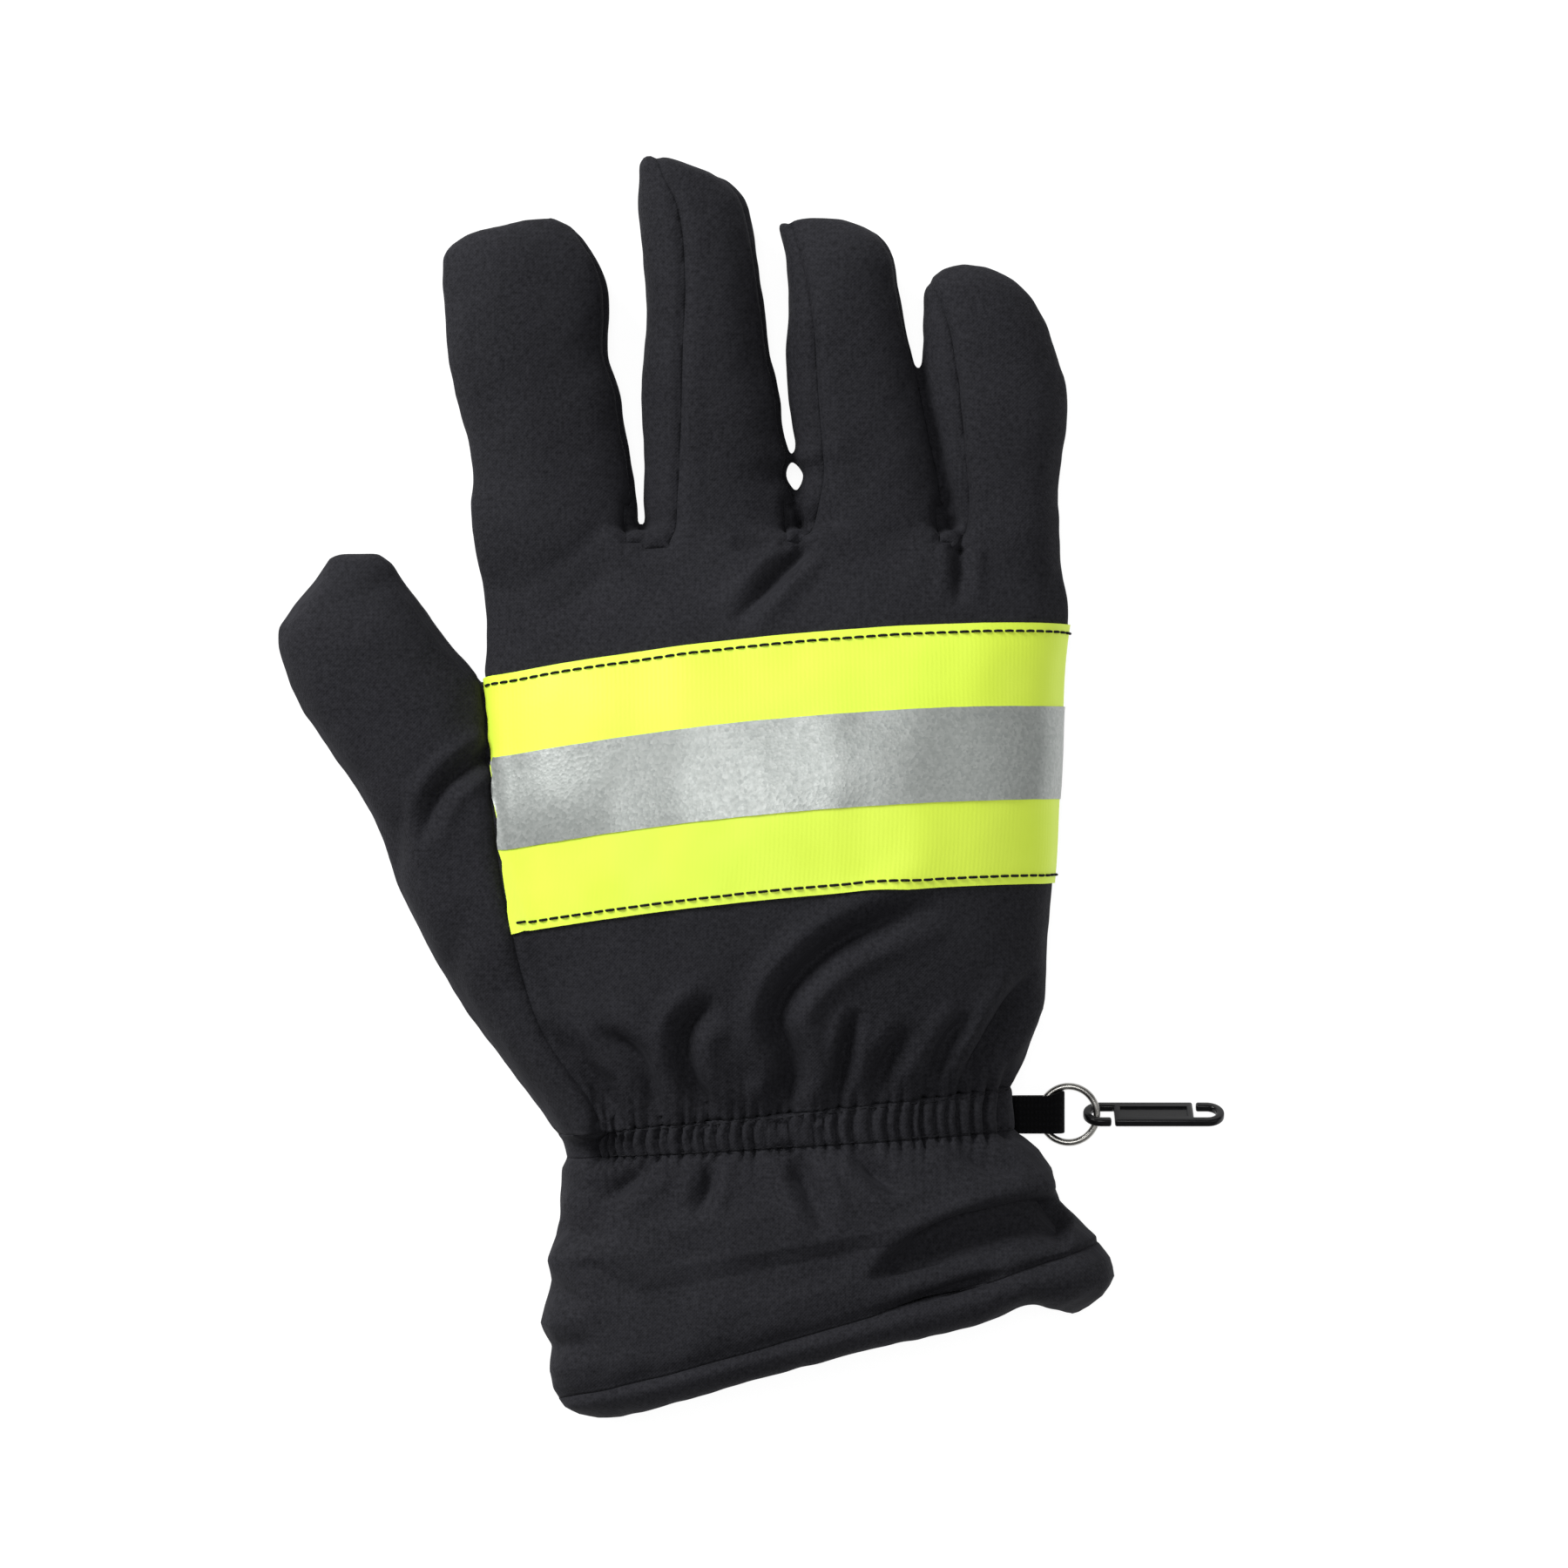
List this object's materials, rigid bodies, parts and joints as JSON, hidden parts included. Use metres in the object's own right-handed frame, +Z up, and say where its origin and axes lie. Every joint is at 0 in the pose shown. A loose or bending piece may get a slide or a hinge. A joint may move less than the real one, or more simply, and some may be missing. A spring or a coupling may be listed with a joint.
{
  "type": "firefighter glove",
  "caption": "Black cloth firefighter glove for a right hand, lying flat, with a lime and silver reflective tape, an elastic wrist, a short cuff and a hanging loop with ring and clip.",
  "frame": {"origin": "on the surface that the glove lies on, under the middle of the palm", "axes": "+Y towards the fingertips, +X towards the little finger's side, +Z up out of the back of the hand"},
  "size_m": [0.1904, 0.2533, 0.0355],
  "materials": {
    "outer_cloth": "black aramid twill outer cloth, matt",
    "lime_tape": "fluorescent lime coated tape, satin",
    "silver_tape": "glass-bead retroreflective silver tape",
    "webbing": "black woven webbing",
    "ring_steel": "drawn steel wire, dull",
    "clip_plastic": "black gloss moulded plastic"
  },
  "bodies": {
    "root": {"back_panel": "outer_cloth", "palm_panel": "outer_cloth", "thumb_back": "outer_cloth", "fourchette_index_middle": "outer_cloth", "fourchette_middle_ring": "outer_cloth", "fourchette_ring_little": "outer_cloth", "wrist_band": "outer_cloth", "cuff": "outer_cloth", "cuff_hem": "outer_cloth", "tape_backing": "lime_tape", "tape_stripe": "silver_tape", "hang_loop": "webbing", "ring": "ring_steel", "clip": "clip_plastic"}
  },
  "joints": []
}
